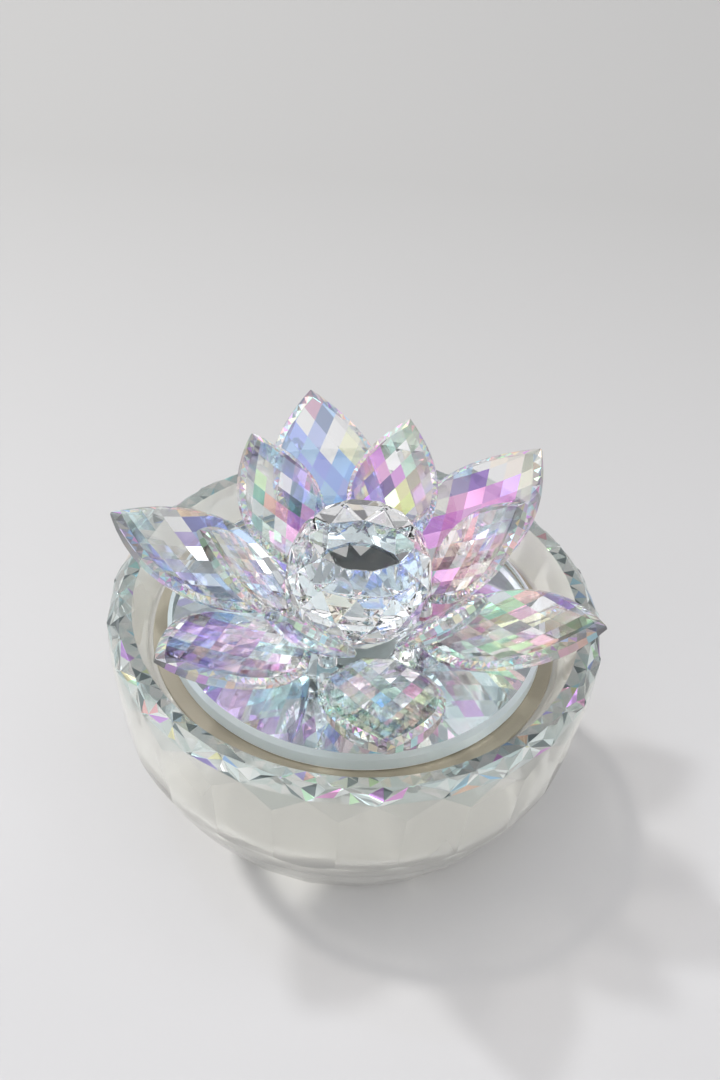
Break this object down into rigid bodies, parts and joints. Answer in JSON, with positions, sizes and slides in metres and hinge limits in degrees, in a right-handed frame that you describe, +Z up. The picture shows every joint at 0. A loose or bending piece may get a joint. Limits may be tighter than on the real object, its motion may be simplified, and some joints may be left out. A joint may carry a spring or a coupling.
{
  "type": "lidded crystal trinket box",
  "caption": "Round faceted crystal bowl closed by a bevelled mirror lid that carries a crystal lotus of pointed petals set around a faceted ball.",
  "frame": {"origin": "middle of the bowl's flat base, on the surface it stands on", "axes": "+Z up along the bowl's axis, towards the lotus; -Y is the front, where one outer petal points; +X to the right seen from the front"},
  "size_m": [0.1315, 0.1308, 0.0868],
  "materials": {
    "clear_crystal": "polished, ground facets",
    "rainbow_crystal": "polished facets with a rainbow coating on the back",
    "plate_glass": "polished",
    "mirror_silver": "silvered, seen through the plate",
    "seat_ring": "matte",
    "clear_glue": "clear, glossy"
  },
  "bodies": {
    "bowl": {"crystal_bowl": "clear_crystal", "seat_ring": "seat_ring"},
    "lid": {"mirror_plate": "plate_glass", "mirror_backing": "mirror_silver", "locating_disc": "clear_crystal", "crystal_ball": "clear_crystal", "ball_glue": "clear_glue", "outer_petal_1": "rainbow_crystal", "outer_petal_2": "rainbow_crystal", "outer_petal_3": "rainbow_crystal", "outer_petal_4": "rainbow_crystal", "outer_petal_5": "rainbow_crystal", "outer_petal_6": "rainbow_crystal", "inner_petal_1": "rainbow_crystal", "inner_petal_2": "rainbow_crystal", "inner_petal_3": "rainbow_crystal", "inner_petal_4": "rainbow_crystal", "inner_petal_5": "rainbow_crystal", "inner_petal_6": "rainbow_crystal", "outer_glue_1": "clear_glue", "outer_glue_2": "clear_glue", "outer_glue_3": "clear_glue", "outer_glue_4": "clear_glue", "outer_glue_5": "clear_glue", "outer_glue_6": "clear_glue", "inner_glue_1": "clear_glue", "inner_glue_2": "clear_glue", "inner_glue_3": "clear_glue", "inner_glue_4": "clear_glue", "inner_glue_5": "clear_glue", "inner_glue_6": "clear_glue"}
  },
  "joints": [
    {"name": "lid_lift", "type": "slide", "parent": "bowl", "child": "lid", "axis": [0, 0, 1], "range_m": [0, 0.08]}
  ]
}
